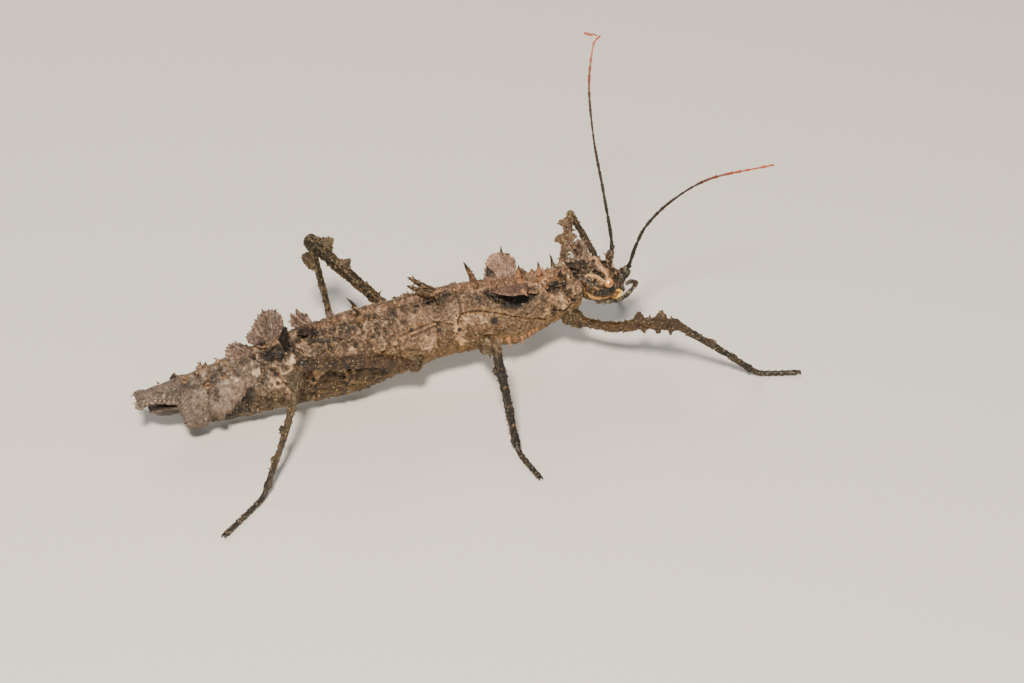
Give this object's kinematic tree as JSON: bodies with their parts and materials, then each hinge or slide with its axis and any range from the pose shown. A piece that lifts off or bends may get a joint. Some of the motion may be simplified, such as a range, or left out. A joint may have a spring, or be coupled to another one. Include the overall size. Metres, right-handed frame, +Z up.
{
  "type": "stick insect",
  "caption": "Still life-size stick insect with spiny, lobed back and legs, standing on all its feet with the feelers raised.",
  "frame": {"origin": "bottom centre of the bounding box, on the floor that the feet rest on", "axes": "+X towards the head, +Y towards the animal's left side, +Z up"},
  "size_m": [0.0665, 0.0397, 0.03],
  "materials": {
    "body_cuticle": "rugose, granular grey-brown cuticle, matt with a faint sheen on the ridges",
    "leg_cuticle": "granular brown cuticle, matt",
    "foot_cuticle": "dark brown cuticle, satin",
    "feeler_cuticle": "dark grey-brown beaded cuticle, satin",
    "eye_amber": "amber, smooth and glossy",
    "mouth_ochre": "ochre cuticle, satin"
  },
  "bodies": {
    "root": {"prothorax": "body_cuticle", "mesothorax": "body_cuticle", "metathorax": "body_cuticle", "abdomen_front": "body_cuticle", "abdomen_middle": "body_cuticle", "abdomen_rear": "body_cuticle", "tail": "body_cuticle", "operculum": "body_cuticle", "head": "body_cuticle", "horn_left": "body_cuticle", "horn_right": "body_cuticle", "coxa_front_left": "body_cuticle", "coxa_front_right": "body_cuticle", "coxa_mid_left": "body_cuticle", "coxa_mid_right": "body_cuticle", "coxa_hind_left": "body_cuticle", "coxa_hind_right": "body_cuticle", "femur_front_left": "leg_cuticle", "femur_front_right": "leg_cuticle", "femur_mid_left": "leg_cuticle", "femur_mid_right": "leg_cuticle", "femur_hind_left": "leg_cuticle", "femur_hind_right": "leg_cuticle", "tibia_front_left": "leg_cuticle", "tibia_front_right": "leg_cuticle", "tibia_mid_left": "leg_cuticle", "tibia_mid_right": "leg_cuticle", "tibia_hind_left": "leg_cuticle", "tibia_hind_right": "leg_cuticle", "tarsus_front_left": "foot_cuticle", "tarsus_front_right": "foot_cuticle", "tarsus_mid_left": "foot_cuticle", "tarsus_mid_right": "foot_cuticle", "tarsus_hind_left": "foot_cuticle", "tarsus_hind_right": "foot_cuticle", "antenna_left": "feeler_cuticle", "antenna_right": "feeler_cuticle", "scape_left": "feeler_cuticle", "scape_right": "feeler_cuticle", "palp_left": "feeler_cuticle", "palp_right": "feeler_cuticle", "eye_left": "eye_amber", "eye_right": "eye_amber", "mandible_left": "mouth_ochre", "mandible_right": "mouth_ochre", "labrum": "mouth_ochre"}
  },
  "joints": []
}
